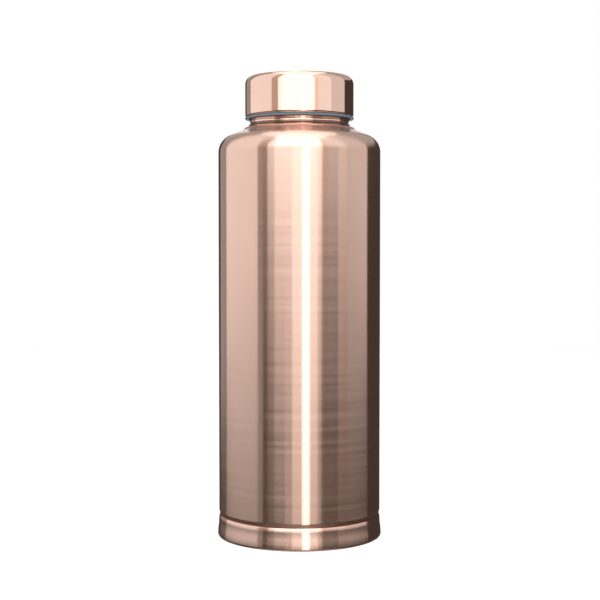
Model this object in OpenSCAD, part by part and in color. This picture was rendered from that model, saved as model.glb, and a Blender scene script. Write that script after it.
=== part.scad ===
// Copper water bottle with a screw cap. It stands on z = 0, and its axis is the Z axis.

/* [Body] */
// Outer diameter of the straight wall
body_d = 80; // [76:1:90]
// Thickness of the copper sheet of the body and the base
body_wall = 0.6; // [0.5:0.1:0.7]
// Height at which the straight wall ends and the shoulder begins
shoulder_z = 189.7; // [120:0.1:260]
// Bend radius between the wall and the shoulder
shoulder_bend_r = 8.9; // [6:0.1:9]
// Slope of the shoulder above the horizontal, in degrees
shoulder_slope = 21; // [18:1:24]

/* [Base] */
// Height of the base cup's upper edge
cup_h = 10.8; // [9:0.1:16]
// How far the base cup stands out past the wall at its widest
cup_flare = 0.6; // [0.3:0.1:1]
// Radius of the cup's bottom corner
cup_corner_r = 1.2; // [1:0.1:3]
// Width of the ring that the bottle stands on
foot_ring_w = 5.5; // [4:0.5:8]
// Height of the recessed bottom panel
panel_lift = 2.2; // [1.2:0.1:3]

/* [Neck] */
// Outer diameter of the neck at the root of its thread
neck_d = 48; // [47:0.5:48.5]
// Thickness of the collar's wall
collar_wall = 0.8; // [0.7:0.1:0.9]
// Height of the collar from the edge of its foot to the mouth
collar_h = 22.4; // [22:0.1:24]

/* [Thread] */
// Height that the cap rises in one turn
pitch = 5; // [4.6:0.1:5.2]
// How far the ridges of both threads stand out
ridge_h = 0.8; // [0.7:0.05:0.8]

/* [Cap] */
// Outer diameter of the cap
cap_d = 53.5; // [53.4:0.1:54]
// Thickness of the copper sheet of the cap
cap_wall = 0.6; // [0.5:0.1:0.6]
// Radius of the cap's upper edge
cap_corner_r = 4.1; // [3:0.1:5]
// Thickness of the liner's crown
crown_t = 1.2; // [1:0.1:1.6]
// Thickness of the gasket in the crown
gasket_t = 1.7; // [1.4:0.1:2]
// Height of the seal ring
seal_h = 1.2; // [1.2:0.1:1.8]

/* [Hidden] */
$fn = 96;
copper = [0.85, 0.62, 0.52];
filler_red = [0.66, 0.36, 0.28];
seal_grey = [0.44, 0.49, 0.53];
liner_white = [0.86, 0.86, 0.84];
gasket_white = [0.93, 0.93, 0.91];

body_r = body_d / 2;
neck_r = neck_d / 2;
cap_r = cap_d / 2;
// clearance of pieces that are pushed together
lap_gap = 0.05;

// points on an arc about (cx, cz), from angle a to angle b
function arc(cx, cz, r, a, b, steps = 12) =
    [for (i = [0:steps]) [cx + r * cos(a + (b - a) * i / steps), cz + r * sin(a + (b - a) * i / steps)]];

function reversed(points) = [for (i = [len(points) - 1:-1:0]) points[i]];

// a smooth step from 0 to 1
function ease(u) = (1 - cos(180 * u)) / 2;

// a solid of revolution from its half outline
module turned(outline) {
    rotate_extrude() polygon(outline);
}

// ---- shoulder: a bend out of the wall, a cone, and a hollow that ends at the edge of the collar's foot ----

cone_angle = 90 - shoulder_slope;
hollow_r = 7.7;
hollow_angle = 50;
foot_r = neck_r + 3.3;
hollow_x = foot_r + hollow_r * cos(hollow_angle);
bend_end = [body_r - shoulder_bend_r * (1 - cos(cone_angle)), shoulder_z + shoulder_bend_r * sin(cone_angle)];
cone_end_r = hollow_x - hollow_r * cos(cone_angle);
cone_end_z = bend_end.y + (bend_end.x - cone_end_r) * tan(shoulder_slope);
hollow_z = cone_end_z + hollow_r * sin(cone_angle);
foot_z = hollow_z - hollow_r * sin(hollow_angle);
// under the foot the shell runs on at the shoulder's slope, then turns up inside the collar
collar_in_r = neck_r - collar_wall;
upstand_r = collar_in_r - lap_gap;
under_foot_z = foot_z + (foot_r - neck_r) * tan(shoulder_slope);
upstand_bend_h = 0.9;
upstand_h = 5;

function hollow_line(t) =
    arc(hollow_x, hollow_z, hollow_r + t, 180 + cone_angle, 180 + hollow_angle, 5);

// ---- lap of the wall and the base cup ----

tuck = body_wall + lap_gap;
tuck_r = body_r - tuck;
tuck_top_z = cup_h + 2.3;
tuck_low_z = cup_h - 0.1;
tuck_steps = 5;
shell_end_z = 2.4;

// the wall's outer face eases inwards to enter the cup: radius and height at step i, from the bottom
function tuck_line_r(i) = tuck_r + tuck * ease(i / tuck_steps);
function tuck_line_z(i) = tuck_low_z + (tuck_top_z - tuck_low_z) * i / tuck_steps;

// outer line of the shell, moved inwards by t
function shell_line(t) = concat(
    [[tuck_r - t, shell_end_z]],
    [for (i = [0:tuck_steps]) [tuck_line_r(i) - t, tuck_line_z(i)]],
    arc(body_r - shoulder_bend_r, shoulder_z, shoulder_bend_r - t, 0, cone_angle, 14),
    hollow_line(t),
    [[neck_r - t / 3, under_foot_z - t],
        [upstand_r - t, under_foot_z + upstand_bend_h - t / 3],
        [upstand_r - t, under_foot_z + upstand_h]]);

module body_shell() {
    color(copper) turned(concat(shell_line(0), reversed(shell_line(body_wall))));
}

cup_in_r = body_r - body_wall;
lip_edge = 0.2;
lip_h = 2.2;
lip_swell = 0.05;
lip_low_z = cup_h - lip_h;

// outer line of the base cup, moved inwards by t, from the axis to the foot of the lip
function cup_line(t) =
    let (wide = body_r + cup_flare,
        ring_out = wide - cup_corner_r,
        ring_in = ring_out - foot_ring_w,
        top_r = cup_in_r + body_wall + lip_swell)
    concat(
        // the panel is drawn up at 45 degrees, and its sheet keeps its thickness on the slope
        [[0, panel_lift + t], [ring_in - panel_lift + 0.4 * t, panel_lift + t], [ring_in + 0.4 * t, t]],
        arc(ring_out, cup_corner_r, cup_corner_r - t, -90, 0, 8),
        [for (i = [1:6])
            [wide - t + (top_r - wide) * ease(i / 6), cup_corner_r + (lip_low_z - cup_corner_r) * i / 6]]);

module base_cup() {
    // the lip thins to lip_edge on one large arc
    thinning = body_wall + lip_swell - lip_edge;
    lip_r = (lip_h * lip_h + thinning * thinning) / (2 * thinning);
    lip_x = cup_in_r + body_wall + lip_swell - lip_r;
    color(copper) turned(concat(
        cup_line(0),
        arc(lip_x, lip_low_z, lip_r, 0, asin(lip_h / lip_r), 6),
        [[cup_in_r, cup_h]],
        [[cup_in_r, lip_low_z]],
        reversed(cup_line(body_wall))));
}

// filler in the groove between the tucked-in wall and the cup's edge
module base_braze() {
    soak_h = 0.6;
    bead = 0.1;
    color(filler_red) turned([
        [tuck_r, cup_h - soak_h],
        [cup_in_r, cup_h - soak_h],
        [cup_in_r, cup_h],
        [cup_in_r + 0.7 * lip_edge, cup_h],
        [tuck_line_r(1) + bead, tuck_line_z(1)],
        [tuck_line_r(2), tuck_line_z(2)],
        [tuck_line_r(1), tuck_line_z(1)],
        [tuck_r, tuck_low_z]]);
}

// ---- collar: flared foot, crease, threaded neck and rolled mouth ----

rim_z = foot_z + collar_h;
rim_roll_r = 0.85;
foot_edge = 0.25;
flare_r = 4.2;
crease_z = foot_z + 2.2;
waist_r = neck_r + 0.3;
// the waist flares out towards the seal ring
waist_bell = 0.65;
waist_top_z = foot_z + 4.55;
neck_low_z = waist_top_z + 0.25;
thread_z = foot_z + 8;
neck_turns = 2.25;
liner_turns = 2;
// the liner's ridge starts here, so it runs on from just above its lower end
liner_start = -150;
steps_per_turn = 36;
ridge_root_w = 2.2;
ridge_crest_w = 0.9;
// how deep each ridge is rooted in its wall
root_depth = 0.4;
crest_gap = 0.3;
neck_crest_r = neck_r + ridge_h;

// A helical ridge of trapezoid section, that rises out of its wall and sinks back into it at its ends.
// base_r is inside the wall, crest_r is past its face, and z is the ridge's height at angle 0.
module ridge(base_r, crest_r, z, start, turns) {
    steps = turns * steps_per_turn;
    fade_steps = 4;
    half_root = ridge_root_w / 2;
    half_crest = ridge_crest_w / 2;
    rings = [for (i = [0:steps])
        let (a = start + 360 * i / steps_per_turn,
            rise = min(1, (0.2 + min(i, steps - i)) / fade_steps),
            top_r = base_r + (crest_r - base_r) * rise,
            mid = z + pitch * a / 360)
        for (p = [[base_r, -half_root], [top_r, -half_crest], [top_r, half_crest], [base_r, half_root]])
            [p.x * cos(a), p.x * sin(a), mid + p.y]];
    sides = [for (i = [0:steps - 1], j = [0:3])
        let (k = (j + 1) % 4)
        each [[4 * i + j, 4 * i + k, 4 * i + 4 + k], [4 * i + j, 4 * i + 4 + k, 4 * i + 4 + j]]];
    ends = [[3, 2, 1, 0], [for (j = [0:3]) 4 * steps + j]];
    faces = concat(sides, ends);
    polyhedron(rings, crest_r > base_r ? faces : [for (face = faces) reversed(face)]);
}

module neck_collar() {
    lap_x = neck_r + 0.02;
    lap_z = under_foot_z + 0.02;
    roll_x = neck_r - rim_roll_r;
    roll_z = rim_z - rim_roll_r;
    roll_tail = 1.3;
    color(copper) union() {
        turned(concat(
            [[foot_r - 0.05, foot_z + 0.04], [foot_r - 0.1, foot_z + foot_edge]],
            // the flare is a tenth of a circle, hollow outwards
            arc(foot_r + 1.3, crease_z + 2.2, flare_r, 249, 214, 6),
            // the crease is a narrow ledge that runs up into the waist
            [[neck_r + 0.7, crease_z + 0.1], [neck_r + 0.42, crease_z + 0.45], [waist_r, crease_z + 0.9]],
            [[waist_r + waist_bell / 6, waist_top_z - 1.1]],
            [[waist_r + waist_bell / 2, waist_top_z - 0.5], [waist_r + waist_bell, waist_top_z]],
            [[neck_r, neck_low_z]],
            arc(roll_x, roll_z, rim_roll_r, 0, 200, 14),
            [[collar_in_r, roll_z - roll_tail], [collar_in_r, lap_z + upstand_bend_h], [lap_x, lap_z]]));
        ridge(neck_r - root_depth, neck_crest_r, thread_z, 0, neck_turns);
    }
}

// filler at the edge of the collar's foot
module neck_braze() {
    along = reversed(hollow_line(0));
    color(filler_red) turned([
        [foot_r - 0.04, foot_z + 0.035],
        along[0],
        along[1],
        [foot_r + 0.08, foot_z + 0.06],
        [foot_r - 0.09, foot_z + foot_edge]]);
}

// ---- cap ----

gasket_gap = 0.1;
gasket_z = rim_z + gasket_gap;
crown_z = gasket_z + gasket_t + gasket_gap;
cap_top_z = crown_z + crown_t + cap_wall;
seal_z = neck_low_z;
seal_top_z = seal_z + seal_h;
// rolled-in lower edge of the cap's shell
roll_r = 1.2;
roll_angle = 55;
seal_gap = 0.15;
roll_mid_z = seal_top_z + seal_gap + roll_r * sin(roll_angle);
// liner: its root clears the neck's ridge, and its crest clears the neck
liner_in_r = neck_crest_r + crest_gap;
liner_crest_r = neck_r + crest_gap + 0.05;
liner_out_r = cap_r - cap_wall - lap_gap;
liner_end_r = liner_in_r + 0.5;
liner_end_z = seal_z + 0.6;

function cap_line(t) = concat(
    [[0, cap_top_z - t]],
    arc(cap_r - cap_corner_r, cap_top_z - cap_corner_r, cap_corner_r - t, 90, 0, 10),
    arc(cap_r - roll_r, roll_mid_z, roll_r - t, 0, -roll_angle, 8));

module cap_shell() {
    color(copper) turned(concat(cap_line(0), reversed(cap_line(cap_wall))));
}

module cap_liner() {
    corner_r = cap_corner_r - cap_wall;
    bead_z = gasket_z - 0.5;
    bead_h = 0.6;
    bead_out = 0.45;
    shoulder_drop = 0.7;
    color(liner_white) union() {
        turned(concat(
            [[0, crown_z + crown_t]],
            arc(liner_out_r - corner_r, cap_top_z - cap_corner_r, corner_r, 90, 0, 10),
            // below the straight wall the liner steps in past the cap's rolled edge
            [[liner_out_r, roll_mid_z + 0.1], [liner_end_r, roll_mid_z - shoulder_drop]],
            [[liner_end_r, liner_end_z]],
            [[liner_in_r, liner_end_z]],
            // a small bead holds the gasket up in the crown
            [[liner_in_r, bead_z - bead_h], [liner_in_r - bead_out, bead_z - bead_h / 2], [liner_in_r, bead_z]],
            [[liner_in_r, crown_z], [0, crown_z]]));
        ridge(liner_in_r + root_depth, liner_crest_r, thread_z + pitch / 2, liner_start, liner_turns);
    }
}

module rim_seal_ring() {
    out_r = cap_r + 0.1;
    edge_r = 0.4;
    top_slope = 0.2;
    ledge_z = liner_end_z - lap_gap / 2;
    low_r = liner_in_r + lap_gap;
    color(seal_grey) turned(concat(
        [[low_r, seal_z + 0.1], [low_r + 0.4, seal_z]],
        arc(out_r - edge_r, seal_z + edge_r, edge_r, -90, 0, 5),
        arc(out_r - edge_r, seal_top_z - top_slope - edge_r, edge_r, 0, 90, 5),
        [[liner_end_r + 0.3, seal_top_z], [liner_end_r, seal_top_z], [liner_end_r, ledge_z], [low_r, ledge_z]]));
}

module mouth_gasket() {
    out_r = liner_in_r - 0.3;
    band_in_r = neck_r - 2.6;
    dish = 0.4;
    chamfer = 0.25;
    color(gasket_white) turned([
        [0, gasket_z + dish],
        [band_in_r - dish, gasket_z + dish],
        [band_in_r, gasket_z],
        [out_r - chamfer, gasket_z],
        [out_r, gasket_z + chamfer],
        [out_r, gasket_z + gasket_t - chamfer],
        [out_r - chamfer, gasket_z + gasket_t],
        [0, gasket_z + gasket_t]]);
}

body_shell();
base_cup();
base_braze();
neck_collar();
neck_braze();
cap_shell();
cap_liner();
rim_seal_ring();
mouth_gasket();
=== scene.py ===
import math

import bpy
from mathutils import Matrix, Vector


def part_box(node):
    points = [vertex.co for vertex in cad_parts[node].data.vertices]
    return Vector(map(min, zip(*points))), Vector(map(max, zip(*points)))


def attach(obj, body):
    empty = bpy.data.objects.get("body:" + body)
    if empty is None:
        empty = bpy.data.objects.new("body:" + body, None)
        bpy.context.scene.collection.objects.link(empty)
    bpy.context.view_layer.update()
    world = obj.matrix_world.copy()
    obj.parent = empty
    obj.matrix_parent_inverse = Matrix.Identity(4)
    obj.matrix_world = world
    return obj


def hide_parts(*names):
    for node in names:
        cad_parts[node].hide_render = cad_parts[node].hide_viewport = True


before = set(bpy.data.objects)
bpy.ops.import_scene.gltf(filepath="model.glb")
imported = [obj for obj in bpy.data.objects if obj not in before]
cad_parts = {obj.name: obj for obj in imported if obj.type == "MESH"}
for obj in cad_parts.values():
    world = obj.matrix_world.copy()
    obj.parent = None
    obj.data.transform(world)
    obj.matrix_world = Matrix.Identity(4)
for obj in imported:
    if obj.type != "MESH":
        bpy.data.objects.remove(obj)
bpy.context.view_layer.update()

mm = 0.001

# --------------------------------------------------------------------------------------------------
# Body shell. One sheet of copper, spun over a former: a straight wall, a rounded shoulder, and an upstand
# that the collar is pushed over. Its lower end is set inwards to enter the base cup. It is finished with an
# abrasive band on a lathe, so fine lines run round it.
# --------------------------------------------------------------------------------------------------

shell_low, shell_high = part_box("body_shell")
cup_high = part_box("base_cup")[1]
collar_low, collar_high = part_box("neck_collar")
cap_low, cap_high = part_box("cap_shell")

body_r = shell_high.x
sheet = 0.6 * mm
lap_gap = 0.05 * mm
cup_top = cup_high.z
shoulder_z = 189.7 * mm
bend_r = 8.9 * mm
slope = math.radians(21)
hollow_r = 7.7 * mm
foot_r = collar_high.x + 0.05 * mm
foot_z = collar_low.z
neck_r = 24 * mm
collar_in_r = neck_r - 0.8 * mm


def arc(centre_r, centre_z, radius, start, end, steps):
    """Points on an arc in the (radius, height) plane, from one angle to another in radians."""
    angles = [start + (end - start) * i / steps for i in range(steps + 1)]
    return [(centre_r + radius * math.cos(a), centre_z + radius * math.sin(a)) for a in angles]


def line(start, end, steps):
    """Points from start up to but not including end."""
    return [
        (start[0] + (end[0] - start[0]) * i / steps, start[1] + (end[1] - start[1]) * i / steps)
        for i in range(steps)
    ]


def ease(u):
    """A smooth step from 0 to 1."""
    return (1 - math.cos(math.pi * u)) / 2


def turn(name, outline, around=256, sharp=40):
    """Spins an outline of (radius, height) points round the bottle's axis, as on a lathe."""
    bpy.ops.object.select_all(action="DESELECT")
    bpy.ops.mesh.primitive_plane_add(size=mm, location=(0, 0, 0))
    piece = bpy.context.object
    piece.name = piece.data.name = name
    bpy.ops.object.mode_set(mode="EDIT")
    bpy.ops.mesh.select_all(action="SELECT")
    bpy.ops.mesh.merge(type="CENTER")
    bpy.ops.transform.translate(value=(outline[0][0], 0, outline[0][1]))
    for (r0, z0), (r1, z1) in zip(outline, outline[1:]):
        bpy.ops.mesh.extrude_region_move(TRANSFORM_OT_translate={"value": (r1 - r0, 0, z1 - z0)})
    bpy.ops.mesh.select_all(action="SELECT")
    bpy.ops.mesh.spin(steps=around, angle=math.tau, center=(0, 0, 0), axis=(0, 0, 1))
    bpy.ops.mesh.select_all(action="SELECT")
    bpy.ops.mesh.remove_doubles(threshold=0.002 * mm)
    bpy.ops.mesh.normals_make_consistent(inside=False)
    bpy.ops.object.mode_set(mode="OBJECT")
    bpy.ops.object.shade_smooth_by_angle(angle=math.radians(sharp))
    return piece


tuck = sheet + lap_gap
tuck_low, tuck_top = cup_top - 0.1 * mm, cup_top + 2.3 * mm
cone_angle = math.pi / 2 - slope
hollow_angle = math.radians(50)
hollow_x = foot_r + hollow_r * math.cos(hollow_angle)
cone_end_r = hollow_x - hollow_r * math.cos(cone_angle)
cone_start = (body_r - bend_r * (1 - math.cos(cone_angle)), shoulder_z + bend_r * math.sin(cone_angle))
cone_end = (cone_end_r, cone_start[1] + (cone_start[0] - cone_end_r) * math.tan(slope))
hollow_z = cone_end[1] + hollow_r * math.sin(cone_angle)
shell_foot_z = hollow_z - hollow_r * math.sin(hollow_angle)
under_foot_z = shell_foot_z + (foot_r - neck_r) * math.tan(slope)
upstand_r = collar_in_r - lap_gap


def tuck_at(part):
    """A point on the stretch of wall that eases inwards to enter the cup, from 0 at its lower end to 1."""
    return body_r - tuck + tuck * ease(part), tuck_low + (tuck_top - tuck_low) * part


def shell_line(inset):
    """The shell's line from its lower end to the top of the upstand, moved inwards by inset."""
    points = line((body_r - tuck - inset, shell_low.z), (body_r - tuck - inset, tuck_low), 3)
    points += [(r - inset, z) for r, z in (tuck_at(i / 20) for i in range(21))]
    wall = (body_r - inset, tuck_top + 0.4 * mm), (body_r - inset, shoulder_z - 0.4 * mm)
    points += line(*wall, 32) + [wall[1]]
    points += arc(body_r - bend_r, shoulder_z, bend_r - inset, 0, cone_angle, 28)
    points += line(cone_start, cone_end, 6)[1:] if inset == 0 else []
    points += arc(hollow_x, hollow_z, hollow_r + inset, math.pi + cone_angle, math.pi + hollow_angle, 10)
    points += [
        (neck_r - inset / 3, under_foot_z - inset),
        (upstand_r - inset, under_foot_z + 0.9 * mm - inset / 3),
        (upstand_r - inset, shell_high.z),
    ]
    return points


body_outline = shell_line(0) + shell_line(sheet)[::-1]
body = turn("spun_body", body_outline + body_outline[:1])


def metal(name, colour, rough, brushed, lines, uneven, streak, tarnish):
    """Copper with lines that run round the bottle: its colour, roughness and stretch of the gloss, the depth
    of its scratches, how uneven and how dark its coarser lines are, and how dark its duller patches are."""
    material = bpy.data.materials.new(name)
    material.use_nodes = True
    nodes, links = material.node_tree.nodes, material.node_tree.links
    shader = nodes["Principled BSDF"]
    shader.inputs["Metallic"].default_value = 1
    shader.inputs["Anisotropic"].default_value = brushed
    # a quarter turn from the ring direction, so the gloss is drawn out across the lines
    shader.inputs["Anisotropic Rotation"].default_value = 0.25
    tangent = nodes.new("ShaderNodeTangent")
    tangent.direction_type, tangent.axis = "RADIAL", "Z"
    links.new(tangent.outputs["Tangent"], shader.inputs["Tangent"])

    place = nodes.new("ShaderNodeTexCoord")

    def streaks(along, across, detail):
        """Noise stretched round the bottle, with its features per metre along the lines and across them."""
        scale = nodes.new("ShaderNodeMapping")
        scale.inputs["Scale"].default_value = (along, along, across)
        noise = nodes.new("ShaderNodeTexNoise")
        noise.inputs["Scale"].default_value = 1
        noise.inputs["Detail"].default_value = detail
        links.new(place.outputs["Object"], scale.inputs["Vector"])
        links.new(scale.outputs["Vector"], noise.inputs["Vector"])
        return noise.outputs["Fac"]

    def spread(value, low, high):
        ramp = nodes.new("ShaderNodeMapRange")
        ramp.inputs["From Min"].default_value, ramp.inputs["From Max"].default_value = 0.3, 0.7
        ramp.inputs["To Min"].default_value, ramp.inputs["To Max"].default_value = low, high
        links.new(value, ramp.inputs["Value"])
        return ramp.outputs["Result"]

    scratches = streaks(16, 3600, 3)
    bands = streaks(14, 620, 5)
    patches = streaks(28, 22, 3)

    bump = nodes.new("ShaderNodeBump")
    scratch_depth = 0.004 * mm
    bump.inputs["Strength"].default_value = lines
    bump.inputs["Distance"].default_value = scratch_depth
    links.new(scratches, bump.inputs["Height"])
    links.new(bump.outputs["Normal"], shader.inputs["Normal"])
    links.new(spread(bands, rough * (1 - uneven), rough * (1 + uneven)), shader.inputs["Roughness"])

    # a dull patch loses more green and blue than red
    fade = (0.6, 1, 1.2)
    dull_colour = [c * (1 - tarnish * k) for c, k in zip(colour, fade)]
    dull = nodes.new("ShaderNodeMix")
    dull.data_type = "RGBA"
    dull.inputs["A"].default_value = (*colour, 1)
    dull.inputs["B"].default_value = (*dull_colour, 1)
    links.new(spread(patches, 0, 1), dull.inputs["Factor"])
    grain = nodes.new("ShaderNodeMix")
    grain.data_type = "RGBA"
    grain.blend_type = "MULTIPLY"
    grain.inputs["Factor"].default_value = 1
    links.new(dull.outputs["Result"], grain.inputs["A"])
    links.new(spread(bands, 1 - streak, 1), grain.inputs["B"])
    links.new(grain.outputs["Result"], shader.inputs["Base Color"])
    return material


brushed_copper = metal("brushed_copper", (0.93, 0.65, 0.54), 0.2, 1.0, 0.3, 0.1, 0.05, 0.06)
body.data.materials.append(brushed_copper)
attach(body, "bottle")
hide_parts("body_shell")

# --------------------------------------------------------------------------------------------------
# Base cup. Pressed from the same copper sheet: a recessed panel, a ring that the bottle stands on, a round
# corner and a wall that flares a little towards the table. Its upper lip is dressed down to a thin edge.
# --------------------------------------------------------------------------------------------------

cup_wide = cup_high.x
cup_corner = 1.2 * mm
ring_out = cup_wide - cup_corner
foot_ring_w = 5.5 * mm
ring_in = ring_out - foot_ring_w
panel_lift = 2.2 * mm
cup_in_r = body_r - sheet
lip_h = 2.2 * mm
lip_edge = 0.2 * mm
lip_out_r = cup_in_r + sheet + 0.05 * mm
lip_low = cup_top - lip_h
lip_step = lip_out_r - cup_in_r - lip_edge
lip_round = (lip_h ** 2 + lip_step ** 2) / (2 * lip_step)


def cup_line(inset):
    """The cup's line from the axis to the foot of its lip, moved inwards by inset."""
    # the panel's slope stands at 45 degrees, and its sheet keeps its thickness
    slope_low_r = ring_in + 0.4 * inset
    slope_high_r = slope_low_r - panel_lift
    panel_z = panel_lift + inset
    points = line((0, panel_z), (slope_high_r, panel_z), 8)
    points += [
        (slope_high_r - 0.3 * mm, panel_z),
        (slope_high_r + 0.2 * mm, panel_z - 0.14 * mm),
        (slope_low_r - 0.2 * mm, inset + 0.14 * mm),
        (slope_low_r + 0.3 * mm, inset),
    ]
    points += line((ring_in + 1.2 * mm, inset), (ring_out, inset), 2)
    points += arc(ring_out, cup_corner, cup_corner - inset, -math.pi / 2, 0, 18)
    narrowing, wall_h = cup_wide - lip_out_r, lip_low - cup_corner
    points += [
        (cup_wide - inset - narrowing * ease(i / 16), cup_corner + wall_h * i / 16)
        for i in range(1, 17)
    ]
    return points


cup_outline = cup_line(0)
cup_outline += arc(lip_out_r - lip_round, lip_low, lip_round, 0, math.asin(lip_h / lip_round), 12)[1:]
cup_outline += [(cup_in_r, cup_top), (cup_in_r, lip_low + 0.3 * mm)]
cup_outline += cup_line(sheet)[::-1]
base = turn("base_cup_pressed", cup_outline)
base.data.materials.append(brushed_copper)
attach(base, "bottle")
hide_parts("base_cup")

# --------------------------------------------------------------------------------------------------
# Base braze. Filler that ran into the groove between the tucked-in wall and the edge of the base cup. It is
# redder and duller than the sheet.
# --------------------------------------------------------------------------------------------------

bead_r, bead_z = tuck_at(0.2)
braze_outline = [
    (body_r - tuck, cup_top - 0.6 * mm),
    (cup_in_r, cup_top - 0.6 * mm),
    (cup_in_r, cup_top),
    (cup_in_r + 0.7 * lip_edge, cup_top),
    (bead_r + 0.1 * mm, bead_z),
    *(tuck_at(part) for part in (0.4, 0.3, 0.2, 0.1, 0)),
]
base_filler = turn("base_braze_line", braze_outline + braze_outline[:1])
filler_copper = metal("filler_copper", (0.62, 0.27, 0.18), 0.38, 0.3, 0.2, 0.1, 0.1, 0.25)
base_filler.data.materials.append(filler_copper)
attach(base_filler, "bottle")
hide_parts("base_braze")

# --------------------------------------------------------------------------------------------------
# Neck collar. Turned copper, pushed over the shell's upstand: a flared foot on the shoulder, a crease, a
# waist that flares out again, and a neck with a raised thread and a mouth rolled inwards.
# --------------------------------------------------------------------------------------------------

rim_z = collar_high.z
crease_z = shell_foot_z + 2.2 * mm
waist_r = neck_r + 0.3 * mm
bell = 0.65 * mm
roll_r = 0.85 * mm
collar_outline = [
    (foot_r - 0.05 * mm, foot_z),
    (foot_r - 0.06 * mm, shell_foot_z + 0.18 * mm),
    (foot_r - 0.12 * mm, shell_foot_z + 0.27 * mm),
]
flare_r = 4.2 * mm
flare_x, flare_z = foot_r + 1.3 * mm, crease_z + 2.2 * mm
collar_outline += arc(flare_x, flare_z, flare_r, math.radians(248), math.radians(215), 12)
collar_outline += [
    (neck_r + 0.8 * mm, crease_z + 0.04 * mm),
    (neck_r + 0.62 * mm, crease_z + 0.18 * mm),
    (neck_r + 0.42 * mm, crease_z + 0.45 * mm),
    (neck_r + 0.33 * mm, crease_z + 0.7 * mm),
]
waist_top = shell_foot_z + 4.55 * mm
waist_h = waist_top - crease_z - 0.9 * mm
bell_steps = 12
collar_outline += [
    (waist_r + bell * (i / bell_steps) ** 2.5, waist_top - waist_h * (1 - i / bell_steps))
    for i in range(bell_steps + 1)
]
collar_outline += [(waist_r + bell - 0.1 * mm, waist_top + 0.1 * mm), (neck_r, shell_foot_z + 4.8 * mm)]
collar_outline += line((neck_r, shell_foot_z + 5 * mm), (neck_r, rim_z - roll_r - 0.2 * mm), 10)
collar_outline += arc(neck_r - roll_r, rim_z - roll_r, roll_r, 0, math.radians(200), 20)
collar_outline += [
    (collar_in_r, rim_z - roll_r - 1.3 * mm),
    (collar_in_r, under_foot_z + 0.92 * mm),
    (neck_r + 0.02 * mm, under_foot_z + 0.02 * mm),
]
collar = turn("neck_collar_turned", collar_outline + collar_outline[:1])

pitch = 5 * mm
ridge_h = 0.8 * mm
thread_z = shell_foot_z + 8 * mm


def thread(piece, outline, height, start, turns, sink):
    """Winds a ridge round the bottle's axis and adds it to a piece. The ridge rises by the pitch in each
    turn, and both its ends sink into the wall."""
    steps = 72
    fade = 7
    bpy.ops.object.select_all(action="DESELECT")
    bpy.ops.mesh.primitive_plane_add(size=mm, location=(0, 0, 0))
    ridge = bpy.context.object
    bpy.ops.object.mode_set(mode="EDIT")
    bpy.ops.mesh.select_all(action="SELECT")
    bpy.ops.mesh.merge(type="CENTER")
    bpy.ops.transform.translate(value=(outline[0][0] - sink, 0, height + outline[0][1]))
    for (r0, z0), (r1, z1) in zip(outline, outline[1:]):
        bpy.ops.mesh.extrude_region_move(TRANSFORM_OT_translate={"value": (r1 - r0, 0, z1 - z0)})
    bpy.ops.mesh.select_all(action="SELECT")
    bpy.ops.mesh.edge_face_add()
    spin_by(start)
    total = round(turns * steps)
    for i in range(total):
        a = start + math.tau * i / steps
        push = sink / fade * ((i < fade) - (i >= total - fade))
        shift = (push * math.cos(a), push * math.sin(a), pitch / steps)
        bpy.ops.mesh.extrude_region_move(TRANSFORM_OT_translate={"value": shift})
        spin_by(math.tau / steps)
    bpy.ops.mesh.select_all(action="SELECT")
    bpy.ops.mesh.normals_make_consistent(inside=False)
    bpy.ops.object.mode_set(mode="OBJECT")
    bpy.ops.object.shade_smooth_by_angle(angle=math.radians(40))
    piece.select_set(True)
    bpy.context.view_layer.objects.active = piece
    bpy.ops.object.join()


def spin_by(angle):
    """Turns what is selected round the bottle's axis, anticlockwise as seen from above."""
    bpy.ops.transform.rotate(value=-angle, orient_axis="Z", orient_type="GLOBAL", center_override=(0, 0, 0))


# half of the ridge's section, and its mirror image above
ridge_half = [(-0.4, -1.1), (0, -1.04), (0.55, -0.62), (0.72, -0.5), (0.8, -0.3)]
ridge_outline = ridge_half + [(r, -z) for r, z in reversed(ridge_half)]
neck_ridge = [(neck_r + r * mm, z * mm) for r, z in ridge_outline]
thread(collar, neck_ridge, thread_z, 0, 2.25, ridge_h)
polished_copper = metal("polished_copper", (0.94, 0.66, 0.55), 0.11, 0.75, 0.05, 0.1, 0.03, 0.04)
collar.data.materials.append(polished_copper)
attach(collar, "bottle")
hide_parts("neck_collar")

# --------------------------------------------------------------------------------------------------
# Neck braze. A thin line of filler along the edge of the collar's foot.
# --------------------------------------------------------------------------------------------------

along = arc(hollow_x, hollow_z, hollow_r, math.pi + hollow_angle, math.pi + cone_angle, 10)
neck_braze_outline = [
    (foot_r - 0.04 * mm, shell_foot_z + 0.035 * mm),
    *along[:3],
    (foot_r + 0.12 * mm, shell_foot_z + 0.05 * mm),
    (foot_r - 0.06 * mm, shell_foot_z + 0.25 * mm),
]
neck_filler = turn("neck_braze_line", neck_braze_outline + neck_braze_outline[:1])
neck_filler.data.materials.append(filler_copper)
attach(neck_filler, "bottle")
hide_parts("neck_braze")

# --------------------------------------------------------------------------------------------------
# Cap shell. A drawn copper cup, buffed bright, with its lower edge rolled in under the liner.
# --------------------------------------------------------------------------------------------------

cap_r = cap_high.x
cap_top = cap_high.z
cap_corner = 4.1 * mm
edge_roll = 1.2 * mm
edge_roll_angle = math.radians(55)
edge_mid = cap_low.z + edge_roll * math.sin(edge_roll_angle)


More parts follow.
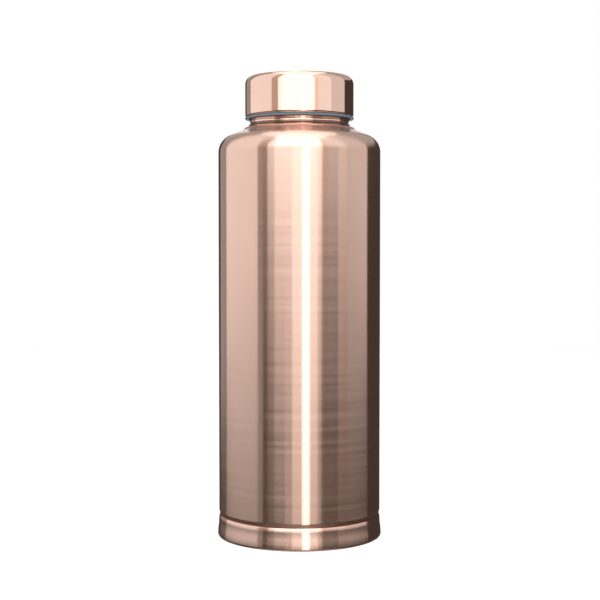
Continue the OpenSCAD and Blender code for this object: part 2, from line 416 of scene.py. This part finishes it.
def cap_line(inset):
    """The cap's line from the axis over its corner and down to the rolled edge, moved inwards by inset."""
    flat_end_r = cap_r - cap_corner - 0.4 * mm
    points = line((0, cap_top - inset), (flat_end_r, cap_top - inset), 10)
    points += [(flat_end_r, cap_top - inset)]
    points += arc(cap_r - cap_corner, cap_top - cap_corner, cap_corner - inset, math.pi / 2, 0, 22)
    wall = (cap_r - inset, cap_top - cap_corner - 0.3 * mm), (cap_r - inset, edge_mid + 0.3 * mm)
    points += line(*wall, 5) + [wall[1]]
    points += arc(cap_r - edge_roll, edge_mid, edge_roll - inset, 0, -edge_roll_angle, 14)
    return points


cap = turn("cap_cup", cap_line(0) + cap_line(sheet)[::-1])
cap.data.materials.append(polished_copper)
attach(cap, "cap")
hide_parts("cap_shell")

# --------------------------------------------------------------------------------------------------
# Seal ring. A ring of blue-grey silicone on the liner's lower end, that shows as a thin line under the cap.
# --------------------------------------------------------------------------------------------------

seal_low, seal_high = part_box("rim_seal_ring")
liner_in_r = neck_r + 1.1 * mm
liner_end_r = liner_in_r + 0.5 * mm
liner_end_z = seal_low.z + 0.6 * mm
seal_edge = 0.4 * mm
seal_outline = [(liner_in_r + 0.05 * mm, seal_low.z + 0.1 * mm), (liner_in_r + 0.45 * mm, seal_low.z)]
round_r = seal_high.x - seal_edge
seal_outline += arc(round_r, seal_low.z + seal_edge, seal_edge, -math.pi / 2, 0, 8)
seal_outline += arc(round_r, seal_high.z - 0.2 * mm - seal_edge, seal_edge, 0, math.pi / 2, 8)
seal_outline += [
    (liner_end_r + 0.3 * mm, seal_high.z),
    (liner_end_r, seal_high.z),
    (liner_end_r, liner_end_z - lap_gap / 2),
    (liner_in_r + 0.05 * mm, liner_end_z - lap_gap / 2),
]
seal = turn("seal_ring", seal_outline + seal_outline[:1])


def rubber(name, colour, rough):
    """Moulded silicone or plastic: a colour that varies a little, and a fine moulded grain."""
    material = bpy.data.materials.new(name)
    material.use_nodes = True
    nodes, links = material.node_tree.nodes, material.node_tree.links
    shader = nodes["Principled BSDF"]
    shader.inputs["IOR"].default_value = 1.42
    place = nodes.new("ShaderNodeTexCoord")
    cloud = nodes.new("ShaderNodeTexNoise")
    cloud.inputs["Scale"].default_value = 160
    grain = nodes.new("ShaderNodeTexNoise")
    grain.inputs["Scale"].default_value = 5000
    for noise in (cloud, grain):
        links.new(place.outputs["Object"], noise.inputs["Vector"])
    tone = nodes.new("ShaderNodeMix")
    tone.data_type = "RGBA"
    tone.inputs["A"].default_value = (*colour, 1)
    tone.inputs["B"].default_value = (*(c * 0.82 for c in colour), 1)
    links.new(cloud.outputs["Fac"], tone.inputs["Factor"])
    links.new(tone.outputs["Result"], shader.inputs["Base Color"])
    gloss = nodes.new("ShaderNodeMapRange")
    gloss.inputs["To Min"].default_value, gloss.inputs["To Max"].default_value = rough - 0.05, rough + 0.05
    links.new(cloud.outputs["Fac"], gloss.inputs["Value"])
    links.new(gloss.outputs["Result"], shader.inputs["Roughness"])
    bump = nodes.new("ShaderNodeBump")
    bump.inputs["Strength"].default_value = 0.15
    bump.inputs["Distance"].default_value = 0.01 * mm
    links.new(grain.outputs["Fac"], bump.inputs["Height"])
    links.new(bump.outputs["Normal"], shader.inputs["Normal"])
    return material


grey_silicone = rubber("grey_silicone", (0.13, 0.18, 0.22), 0.42)
seal.data.materials.append(grey_silicone)
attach(seal, "cap")
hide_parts("rim_seal_ring")

# --------------------------------------------------------------------------------------------------
# Cap liner. A white moulded plastic insert, pressed up into the copper cup. It carries the cap's thread,
# and a small bead near its crown holds the gasket up.
# --------------------------------------------------------------------------------------------------

liner_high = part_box("cap_liner")[1]
gasket_low, gasket_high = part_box("mouth_gasket")
liner_out_r = cap_r - sheet - lap_gap
liner_corner = cap_corner - sheet
crown_z = gasket_high.z + 0.1 * mm
stop_z = gasket_low.z - 0.5 * mm
stop_h = 0.6 * mm
liner_outline = line((0, liner_high.z), (liner_out_r - liner_corner, liner_high.z), 8)
liner_outline += arc(liner_out_r - liner_corner, cap_top - cap_corner, liner_corner, math.pi / 2, 0, 12)
liner_outline += [
    (liner_out_r, edge_mid + 0.1 * mm),
    (liner_end_r, edge_mid - 0.7 * mm),
    (liner_end_r, liner_end_z),
    (liner_in_r, liner_end_z),
]
liner_outline += line((liner_in_r, liner_end_z + 0.3 * mm), (liner_in_r, stop_z - stop_h), 6)
liner_outline += [
    (liner_in_r, stop_z - stop_h),
    (liner_in_r - 0.38 * mm, stop_z - 0.58 * stop_h),
    (liner_in_r - 0.42 * mm, stop_z - 0.5 * stop_h),
    (liner_in_r - 0.38 * mm, stop_z - 0.42 * stop_h),
    (liner_in_r, stop_z),
    (liner_in_r, crown_z),
]
liner_outline += line((liner_in_r - 1 * mm, crown_z), (0, crown_z), 8) + [(0, crown_z)]
liner = turn("liner_moulded", liner_outline)
liner_reach = liner_in_r - neck_r - 0.35 * mm
liner_ridge = [
    (liner_in_r + 0.4 * mm, -1.1 * mm),
    (liner_in_r, -1.04 * mm),
    (liner_in_r - 0.75 * liner_reach, -0.6 * mm),
    (liner_in_r - liner_reach, -0.42 * mm),
    (liner_in_r - liner_reach, 0.42 * mm),
    (liner_in_r - 0.75 * liner_reach, 0.6 * mm),
    (liner_in_r, 1.04 * mm),
    (liner_in_r + 0.4 * mm, 1.1 * mm),
]
# half a pitch from the neck's ridge, so each runs midway between the other's turns
liner_start = math.radians(-150)
liner_thread_z = thread_z + pitch / 2 + pitch * liner_start / math.tau
thread(liner, liner_ridge, liner_thread_z, liner_start, 2, -liner_reach)
liner_white = rubber("liner_white", (0.72, 0.72, 0.69), 0.38)
liner.data.materials.append(liner_white)
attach(liner, "cap")
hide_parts("cap_liner")

# --------------------------------------------------------------------------------------------------
# Mouth gasket. A soft white disc in the crown of the liner, with a raised band that seals on the rolled
# mouth. It rises with the cap and doesn't have to turn with it.
# --------------------------------------------------------------------------------------------------

gasket_r = gasket_high.x
band_in_r = neck_r - 2.6 * mm
dish = 0.4 * mm
soft_edge = 0.25 * mm
gasket_outline = line((0, gasket_low.z + dish), (band_in_r - dish, gasket_low.z + dish), 6)
gasket_outline += [
    (band_in_r - dish, gasket_low.z + dish),
    (band_in_r - 0.12 * mm, gasket_low.z + 0.08 * mm),
    (band_in_r + 0.1 * mm, gasket_low.z),
]
gasket_outline += arc(gasket_r - soft_edge, gasket_low.z + soft_edge, soft_edge, -math.pi / 2, 0, 6)
gasket_outline += arc(gasket_r - soft_edge, gasket_high.z - soft_edge, soft_edge, 0, math.pi / 2, 6)
gasket_outline += line((gasket_r - 1 * mm, gasket_high.z), (0, gasket_high.z), 8) + [(0, gasket_high.z)]
gasket = turn("gasket_disc", gasket_outline)
gasket.data.materials.append(rubber("white_silicone", (0.8, 0.8, 0.78), 0.5))
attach(gasket, "gasket")
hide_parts("mouth_gasket")

# --------------------------------------------------------------------------------------------------
# Floor. A plain white sweep that the bottle stands on. It isn't mirrored in the copper.
# --------------------------------------------------------------------------------------------------

bpy.ops.object.select_all(action="DESELECT")
bpy.ops.mesh.primitive_circle_add(vertices=96, radius=1.2, fill_type="NGON", location=(0, 0, 0))
floor = bpy.context.object
floor.name = floor.data.name = "floor"
floor.visible_glossy = False
floor.visible_shadow = False
floor_white = bpy.data.materials.new("floor_white")
floor_white.use_nodes = True
paper = floor_white.node_tree.nodes["Principled BSDF"]
paper.inputs["Base Color"].default_value = (0.9, 0.9, 0.9, 1)
paper.inputs["Roughness"].default_value = 0.9
paper.inputs["Emission Color"].default_value = (1, 1, 1, 1)
paper.inputs["Emission Strength"].default_value = 0.35
floor.data.materials.append(floor_white)

# --------------------------------------------------------------------------------------------------
# Camera and background. The camera stands in front, a little above the middle of the bottle, and looks
# slightly down. Behind the bottle everything is white, but the metal mirrors a nearly dark room between the
# lights, with a pale table below.
# --------------------------------------------------------------------------------------------------

camera_place = (0.0003, -0.648, 0.1447)
camera_dip = 2.46
bpy.ops.object.camera_add(location=camera_place, rotation=(math.radians(90 - camera_dip), 0, 0))
camera = bpy.context.object
camera.data.lens = 78.3
bpy.context.scene.camera = camera
bpy.context.scene.view_settings.view_transform = "Standard"

world = bpy.data.worlds.new("studio")
bpy.context.scene.world = world
world.use_nodes = True
room = world.node_tree
mirrored = room.nodes["Background"]
toward = room.nodes.new("ShaderNodeTexCoord")
height = room.nodes.new("ShaderNodeSeparateXYZ")
# straight down the metal mirrors the pale table, which fades in between these two slopes of view
table_from, table_to = -0.75, -0.95
low = room.nodes.new("ShaderNodeMapRange")
low.interpolation_type = "SMOOTHSTEP"
low.inputs["From Min"].default_value, low.inputs["From Max"].default_value = table_from, table_to
table_glow = room.nodes.new("ShaderNodeMix")
table_glow.data_type = "RGBA"
table_glow.inputs["A"].default_value = (0.06, 0.048, 0.042, 1)
table_glow.inputs["B"].default_value = (0.55, 0.5, 0.47, 1)
room.links.new(toward.outputs["Generated"], height.inputs["Vector"])
room.links.new(height.outputs["Z"], low.inputs["Value"])
room.links.new(low.outputs["Result"], table_glow.inputs["Factor"])
room.links.new(table_glow.outputs["Result"], mirrored.inputs["Color"])
white = room.nodes.new("ShaderNodeBackground")
white.inputs["Color"].default_value = (1, 1, 1, 1)
seen = room.nodes.new("ShaderNodeLightPath")
either = room.nodes.new("ShaderNodeMixShader")
room.links.new(seen.outputs["Is Camera Ray"], either.inputs["Fac"])
room.links.new(mirrored.outputs["Background"], either.inputs[1])
room.links.new(white.outputs["Background"], either.inputs[2])
room.links.new(either.outputs["Shader"], room.nodes["World Output"].inputs["Surface"])

# --------------------------------------------------------------------------------------------------
# Lights. Upright diffusers stand in a ring round the bottle and one lies overhead. Each is given by the
# angles that it covers as seen from the bottle: round it from behind the camera, growing to the right, and
# up or down.
# --------------------------------------------------------------------------------------------------

ring_r = 1.5
eye_z = 0.11
white_light = (1, 1, 1)
warm_light = (1, 0.85, 0.75)


def diffuser(name, left, right, low, high, glow, colour):
    """An upright rectangular light that faces the bottle's axis, with its angles in degrees."""
    bottom, top = ring_r * math.tan(math.radians(low)), ring_r * math.tan(math.radians(high))
    middle = math.radians((left + right) / 2)
    place = (ring_r * math.sin(middle), -ring_r * math.cos(middle), eye_z + (bottom + top) / 2)
    bpy.ops.object.light_add(type="AREA", location=place, rotation=(math.pi / 2, 0, middle))
    light = bpy.context.object
    light.name = light.data.name = name
    light.visible_camera = False
    light.data.shape = "RECTANGLE"
    light.data.size = 2 * ring_r * math.tan(math.radians(right - left) / 2)
    light.data.size_y = top - bottom
    light.data.energy = glow * math.pi * light.data.size * light.data.size_y
    light.data.color = colour


# the main light stands in front, brighter towards the top, and dimmer towards its sides
diffuser("front", -35, 32, 5, 20, 1.8, white_light)
diffuser("front_high", -35, 32, 20, 65, 2.5, white_light)
diffuser("front_left", -45, -35, 5, 65, 1.5, white_light)
diffuser("left_gap", -60, -45, 5, 65, 0.5, warm_light)
diffuser("right_gap", 32, 40, 5, 65, 1, warm_light)

# under it, a narrow strip reaches down to the table, in a weak glow
diffuser("strip", 4, 14, -35, 5, 1.4, white_light)
diffuser("strip_glow", -10, 25, -15, 5, 0.6, white_light)
diffuser("table_edge", -35, 30, -5, 5, 0.4, warm_light)
diffuser("table_front", -20, 30, -35, -5, 0.2, warm_light)

# a broad light on each side, and weak ones behind
diffuser("left", -125, -60, -5, 65, 0.95, white_light)
diffuser("left_low", -125, -52, -15, -5, 0.5, white_light)
diffuser("right_near", 40, 70, 5, 65, 1, white_light)
diffuser("right", 70, 110, -5, 65, 0.7, white_light)
diffuser("right_low", 55, 70, -5, 5, 0.5, warm_light)
diffuser("left_far", -150, -125, -10, 65, 0.3, white_light)
diffuser("back_left", -180, -150, 20, 65, 0.4, white_light)
diffuser("back_right", 110, 165, 20, 65, 0.4, white_light)
diffuser("back_strip", 170, 190, -20, 65, 1, white_light)

bpy.ops.object.light_add(type="AREA", location=(0, 0, ring_r + eye_z))
overhead = bpy.context.object
overhead.name = overhead.data.name = "overhead"
overhead.visible_camera = False
overhead.data.shape = "SQUARE"
overhead.data.size = 1.3
overhead_glow = 1.5
overhead.data.energy = overhead_glow * math.pi * overhead.data.size ** 2
